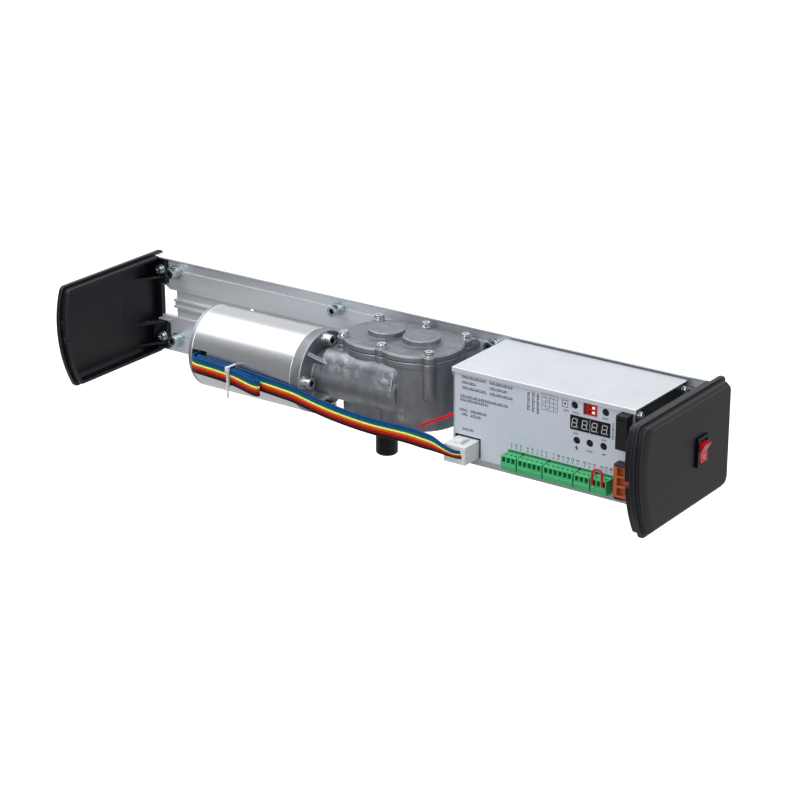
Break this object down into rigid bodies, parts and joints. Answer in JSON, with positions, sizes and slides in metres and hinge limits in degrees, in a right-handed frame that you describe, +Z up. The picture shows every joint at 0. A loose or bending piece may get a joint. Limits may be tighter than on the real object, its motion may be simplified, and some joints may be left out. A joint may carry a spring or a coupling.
{
  "type": "swing door operator",
  "caption": "Wall-mounted swing door drive: motor, worm and spur gearbox, arm spindle, controller box and end caps on an aluminium base profile, shown without its front cover.",
  "frame": {"origin": "fitting line on the wall: on the wall plane, behind the spindle axis, level with the lower edge of the end caps", "axes": "+X along the base profile towards the controller, +Y into the wall, +Z up"},
  "size_m": [0.5214, 0.124, 0.103],
  "materials": {
    "profile_aluminium": "satin anodised extrusion",
    "dark_zinc": "blue-grey passivated zinc",
    "bright_zinc": "bright zinc",
    "cap_plastic": "fine-textured black moulding",
    "motor_steel": "turned, satin",
    "motor_casting": "die-cast, machined faces",
    "stator_steel": "stacked laminations",
    "winding_copper": "enamelled copper wire",
    "board_green": "coated circuit board",
    "bearing_steel": "ground",
    "magnet_black": "sintered, coated",
    "ground_steel": "ground and hardened",
    "worm_steel": "ground and hardened",
    "gear_bronze": "cut bronze, oiled",
    "gear_steel": "cut steel, oiled",
    "gearbox_casting": "dark grey die casting, blasted",
    "gasket_black": "matt",
    "seal_rubber": "matt",
    "bush_bronze": "sintered bronze",
    "spindle_black": "blackened steel",
    "sheet_zinc": "bright zinc-coated sheet",
    "panel_grey": "pale grey printed panel",
    "board_part_black": "moulded parts",
    "display_grey": "unlit segment display",
    "button_black": "moulded",
    "switch_red": "moulded",
    "slider_white": "moulded",
    "holder_black": "moulded",
    "fuse_glass": "clear tube with metal ends",
    "header_green": "moulded",
    "plug_green": "moulded",
    "jumper_red": "insulated wire",
    "terminal_orange": "moulded",
    "plug_white": "moulded nylon",
    "ribbon_colours": "striped insulated conductors",
    "tie_white": "nylon",
    "lead_red": "insulated wire",
    "rocker_housing": "moulded",
    "rocker_red": "translucent moulding"
  },
  "bodies": {
    "root": {"base_profile": "profile_aluminium", "base_screws": "dark_zinc", "end_cap_left": "cap_plastic", "end_cap_right": "cap_plastic", "cap_screws": "bright_zinc", "motor_can": "motor_steel", "motor_rear_cover": "motor_casting", "motor_front_plate": "motor_casting", "motor_stator": "stator_steel", "motor_windings": "winding_copper", "motor_sensor_board": "board_green", "motor_bearings": "bearing_steel", "gearbox_housing": "gearbox_casting", "gearbox_gasket": "gasket_black", "gearbox_cover": "gearbox_casting", "cover_screws": "bright_zinc", "flange_screws": "dark_zinc", "gearbox_mount_screws": "bright_zinc", "worm_bearings": "bearing_steel", "gear_bushes": "bush_bronze", "spindle_seal": "seal_rubber", "controller_chassis": "sheet_zinc", "controller_lid": "sheet_zinc", "front_panel": "panel_grey", "lid_screws": "bright_zinc", "controller_spacers": "bright_zinc", "power_board": "board_green", "board_parts": "board_part_black", "display_board": "board_green", "digit_display": "display_grey", "dip_switch_body": "switch_red", "fuse_holder": "holder_black", "terminal_headers": "header_green", "terminal_plugs": "plug_green", "terminal_jumper": "jumper_red", "mains_terminal": "terminal_orange", "motor_plug": "plug_white", "ribbon_cable": "ribbon_colours", "cable_tie": "tie_white", "red_lead": "lead_red", "switch_body": "rocker_housing"},
    "rotor": {"rotor_shaft": "ground_steel", "rotor_magnets": "magnet_black", "worm": "worm_steel"},
    "wheel": {"worm_wheel": "gear_bronze", "wheel_pinion": "gear_steel"},
    "idler": {"idler_shaft": "gear_steel", "idler_gear": "gear_bronze"},
    "output": {"output_gear": "gear_steel", "output_spindle": "spindle_black"},
    "rocker": {"rocker_button": "rocker_red"},
    "learn_key": {"button_learn": "button_black"},
    "test_key": {"button_test": "button_black"},
    "plus_key": {"button_plus": "button_black"},
    "set_key": {"button_set": "button_black"},
    "minus_key": {"button_minus": "button_black"},
    "dip_upper": {"dip_slider_upper": "slider_white"},
    "dip_lower": {"dip_slider_lower": "slider_white"},
    "fuse_drawer": {"fuse_carrier": "holder_black", "fuse": "fuse_glass"}
  },
  "joints": [
    {"name": "rotor_spin", "type": "hinge", "parent": "root", "child": "rotor", "pos_m": [0, -0.068, 0.0442], "axis": [1, 0, 0], "range_deg": [-7947, 7947]},
    {"name": "wheel_spin", "type": "hinge", "parent": "root", "child": "wheel", "pos_m": [0, -0.0455, 0.0442], "axis": [0, 0, 1], "range_deg": [-497, 497]},
    {"name": "idler_spin", "type": "hinge", "parent": "root", "child": "idler", "pos_m": [0.03125, -0.0455, 0.04], "axis": [0, 0, 1], "range_deg": [-234, 234]},
    {"name": "spindle_turn", "type": "hinge", "parent": "root", "child": "output", "pos_m": [0, -0.0455, 0], "axis": [0, 0, 1], "range_deg": [-110, 110]},
    {"name": "rocker_tilt", "type": "hinge", "parent": "root", "child": "rocker", "pos_m": [0.256, -0.041, 0.0425], "axis": [0, -1, 0], "range_deg": [0, 22]},
    {"name": "learn_press", "type": "slide", "parent": "root", "child": "learn_key", "axis": [0, 1, 0], "range_m": [0, 0.0006], "stiffness_N_per_m": 300, "springref_m": -0.0005},
    {"name": "test_press", "type": "slide", "parent": "root", "child": "test_key", "axis": [0, 1, 0], "range_m": [0, 0.0006], "stiffness_N_per_m": 300, "springref_m": -0.0005},
    {"name": "plus_press", "type": "slide", "parent": "root", "child": "plus_key", "axis": [0, 1, 0], "range_m": [0, 0.0006], "stiffness_N_per_m": 300, "springref_m": -0.0005},
    {"name": "set_press", "type": "slide", "parent": "root", "child": "set_key", "axis": [0, 1, 0], "range_m": [0, 0.0006], "stiffness_N_per_m": 300, "springref_m": -0.0005},
    {"name": "minus_press", "type": "slide", "parent": "root", "child": "minus_key", "axis": [0, 1, 0], "range_m": [0, 0.0006], "stiffness_N_per_m": 300, "springref_m": -0.0005},
    {"name": "dip_upper_slide", "type": "slide", "parent": "root", "child": "dip_upper", "axis": [1, 0, 0], "range_m": [-0.002, 0]},
    {"name": "dip_lower_slide", "type": "slide", "parent": "root", "child": "dip_lower", "axis": [1, 0, 0], "range_m": [-0.002, 0]},
    {"name": "fuse_pull", "type": "slide", "parent": "root", "child": "fuse_drawer", "axis": [0, -1, 0], "range_m": [0, 0.026]}
  ],
  "couplings": [
    {"joint": "wheel_spin", "follows": "rotor_spin", "ratio": -0.0625},
    {"joint": "idler_spin", "follows": "rotor_spin", "ratio": 0.029412},
    {"joint": "spindle_turn", "follows": "rotor_spin", "ratio": -0.013841}
  ]
}
